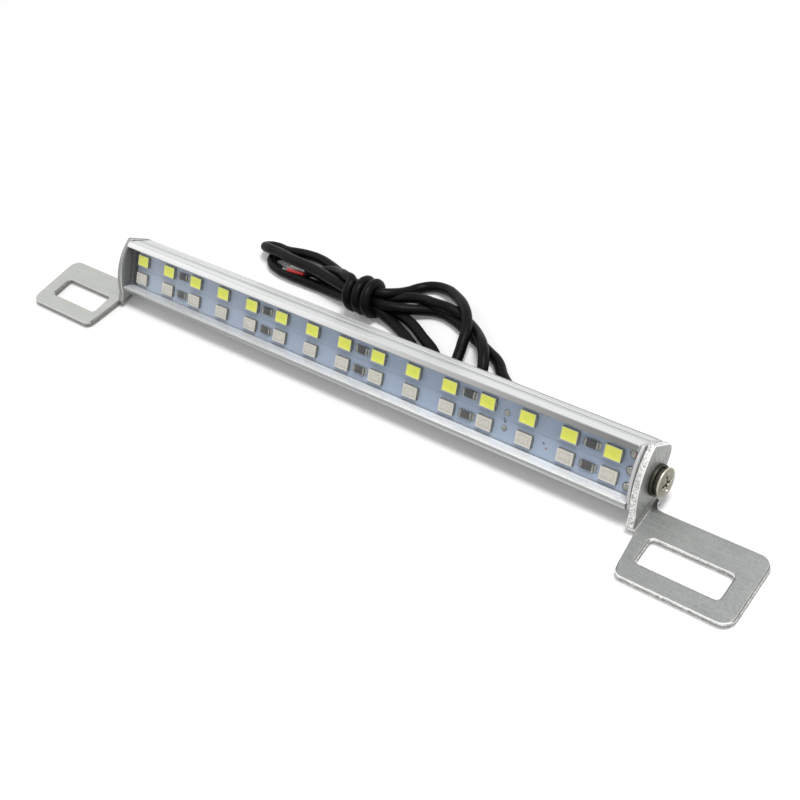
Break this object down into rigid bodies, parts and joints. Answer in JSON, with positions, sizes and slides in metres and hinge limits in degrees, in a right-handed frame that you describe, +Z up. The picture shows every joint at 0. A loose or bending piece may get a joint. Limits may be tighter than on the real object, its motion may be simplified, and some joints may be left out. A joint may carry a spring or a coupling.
{
  "type": "led light bar",
  "caption": "Slim aluminium LED light bar with rows of chips behind a clear lens, slotted swivel brackets screwed to its ends, and a thin black lead tied in a hank.",
  "frame": {"origin": "on the mounting plane under the bracket tabs, midway between the two brackets and midway between the tabs' front edges and the cable grommet's tail", "axes": "+X along the bar towards the wired end, +Z up from the mounting plane, and the LEDs face -Y and up"},
  "size_m": [0.2064, 0.0517, 0.0153],
  "materials": {
    "channel": "brushed lengthwise, clear",
    "lens": "clear, polished",
    "board": "pale blue solder mask, satin",
    "led_body": "moulded, satin",
    "led_phosphor": "soft resin, unlit",
    "led_window": "clear resin over a grey cup, unlit",
    "resistor": "matt ceramic",
    "solder": "bright solder",
    "red_insulation": "smooth",
    "white_insulation": "smooth",
    "black_insulation": "smooth",
    "end_cap": "bare, satin",
    "sealant": "cured silicone, satin",
    "bracket": "satin face with bright rolled edges",
    "flat_washer": "blackened",
    "spring_washer": "blackened",
    "screw": "nickel plated, satin",
    "grommet": "matt",
    "cable": "satin PVC sheath"
  },
  "bodies": {
    "lamp": {"housing": "channel", "lens": "lens", "circuit_board": "board", "white_led_bodies": "led_body", "white_led_phosphors": "led_phosphor", "red_led_bodies": "led_body", "red_led_windows": "led_window", "upper_resistors": "resistor", "lower_resistors": "resistor", "test_pads": "solder", "wire_joints": "solder", "red_core": "red_insulation", "white_core": "white_insulation", "black_core": "black_insulation", "left_end_cap": "end_cap", "right_end_cap": "end_cap", "left_sealant": "sealant", "left_flat_washer": "flat_washer", "right_flat_washer": "flat_washer", "left_spring_washer": "spring_washer", "right_spring_washer": "spring_washer", "left_screw": "screw", "right_screw": "screw", "cable_grommet": "grommet", "cable_inner_end": "cable", "cable_tube": "cable", "cable_hank": "cable", "red_core_end": "red_insulation", "white_core_end": "white_insulation", "black_core_end": "black_insulation"},
    "left_mount": {"left_bracket": "bracket"},
    "right_mount": {"right_bracket": "bracket"}
  },
  "joints": [
    {"name": "left_swivel", "type": "hinge", "parent": "lamp", "child": "left_mount", "pos_m": [-0.0766, 0.00663, 0.0063], "axis": [1, 0, 0], "range_deg": [-36, 54]},
    {"name": "right_swivel", "type": "hinge", "parent": "lamp", "child": "right_mount", "pos_m": [0.0766, 0.00663, 0.0063], "axis": [1, 0, 0], "range_deg": [-36, 54]}
  ]
}
